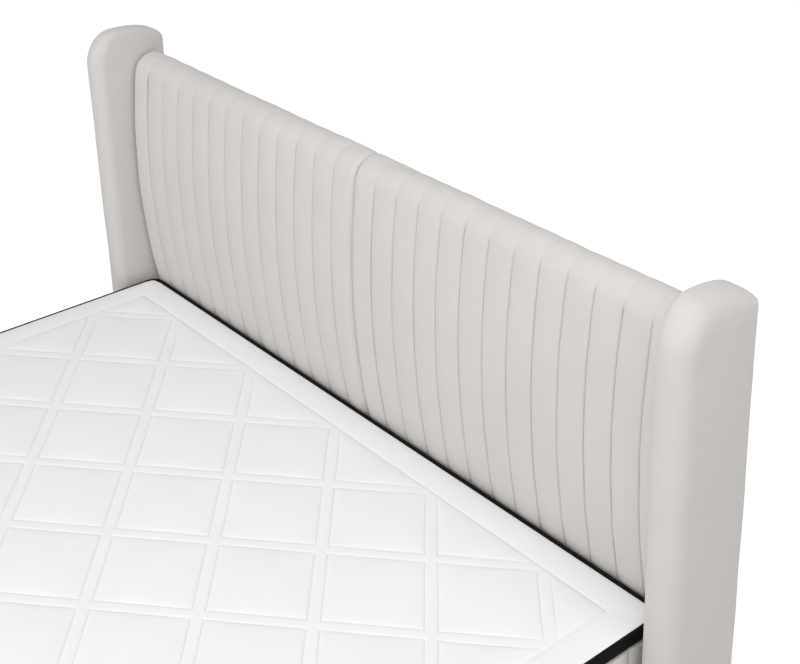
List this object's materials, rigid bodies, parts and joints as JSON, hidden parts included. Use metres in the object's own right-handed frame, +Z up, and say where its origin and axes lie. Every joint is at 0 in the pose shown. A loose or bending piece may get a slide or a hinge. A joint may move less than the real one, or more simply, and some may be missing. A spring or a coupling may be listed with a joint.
{
  "type": "box spring bed",
  "caption": "Upholstered box spring bed with a channelled winged headboard, channelled mattress and base, and a thin quilted topper.",
  "frame": {"origin": "on the floor, at the middle of the bed's outline seen from above", "axes": "+Z up, +Y towards the head end, +X to the right of someone who looks from the foot end at the headboard"},
  "size_m": [1.984, 2.091, 1.2946],
  "materials": {
    "upholstery": "soft napped upholstery fabric, light warm grey",
    "quilt_fabric": "white double-jersey quilting fabric",
    "band_fabric": "black ribbed side fabric",
    "panel_fabric": "plain woven cloth",
    "dust_fabric": "black spunbonded underside cloth",
    "pocket_fabric": "white spunbonded pocket cloth",
    "foam": "soft cut foam",
    "timber": "planed softwood",
    "beech": "planed beech",
    "plywood": "plain plywood",
    "foot_finish": "dark stained turned wood",
    "glide_plastic": "moulded plastic glide",
    "steel": "zinc plated steel"
  },
  "bodies": {
    "frame": {"box_clamps": "steel", "box_feet": "foot_finish", "clamp_bolts": "steel", "corner_blocks": "timber", "foot_glides": "glide_plastic", "foot_plates": "steel", "foot_screws": "steel", "headboard_back_cover": "upholstery", "headboard_bolts": "steel", "headboard_cross_rails": "timber", "headboard_glides": "glide_plastic", "headboard_lower_board": "plywood", "headboard_lower_cover": "upholstery", "headboard_lower_foam": "foam", "headboard_nuts": "steel", "headboard_posts": "timber", "headboard_top_rail": "timber", "left_box_cover": "upholstery", "left_box_dust_cloth": "dust_fabric", "left_box_end_rails": "timber", "left_box_foam": "foam", "left_box_inner_rail": "timber", "left_box_outer_rail": "timber", "left_box_pocket_springs": "pocket_fabric", "left_box_slats": "beech", "left_box_spring_board": "plywood", "left_cushion_board": "plywood", "left_cushion_cover": "upholstery", "left_cushion_foam": "foam", "left_wing_board": "plywood", "left_wing_cover": "upholstery", "left_wing_foam": "foam", "right_box_cover": "upholstery", "right_box_dust_cloth": "dust_fabric", "right_box_end_rails": "timber", "right_box_foam": "foam", "right_box_inner_rail": "timber", "right_box_outer_rail": "timber", "right_box_pocket_springs": "pocket_fabric", "right_box_slats": "beech", "right_box_spring_board": "plywood", "right_cushion_board": "plywood", "right_cushion_cover": "upholstery", "right_cushion_foam": "foam", "right_wing_board": "plywood", "right_wing_cover": "upholstery", "right_wing_foam": "foam", "wing_bolts": "steel"},
    "mattress": {"mattress_border": "upholstery", "mattress_bottom_foam": "foam", "mattress_bottom_panel": "panel_fabric", "mattress_edge_foam": "foam", "mattress_pocket_springs": "pocket_fabric", "mattress_top_foam": "foam", "mattress_top_panel": "panel_fabric"},
    "topper": {"topper_bottom_panel": "quilt_fabric", "topper_core": "foam", "topper_side_band": "band_fabric", "topper_top_panel": "quilt_fabric"}
  },
  "joints": [
    {"name": "mattress_lift", "type": "slide", "parent": "frame", "child": "mattress", "axis": [0, -0.342, 0.9397], "range_m": [0, 0.35]},
    {"name": "topper_lift", "type": "slide", "parent": "mattress", "child": "topper", "axis": [0, -0.342, 0.9397], "range_m": [0, 0.35]}
  ]
}
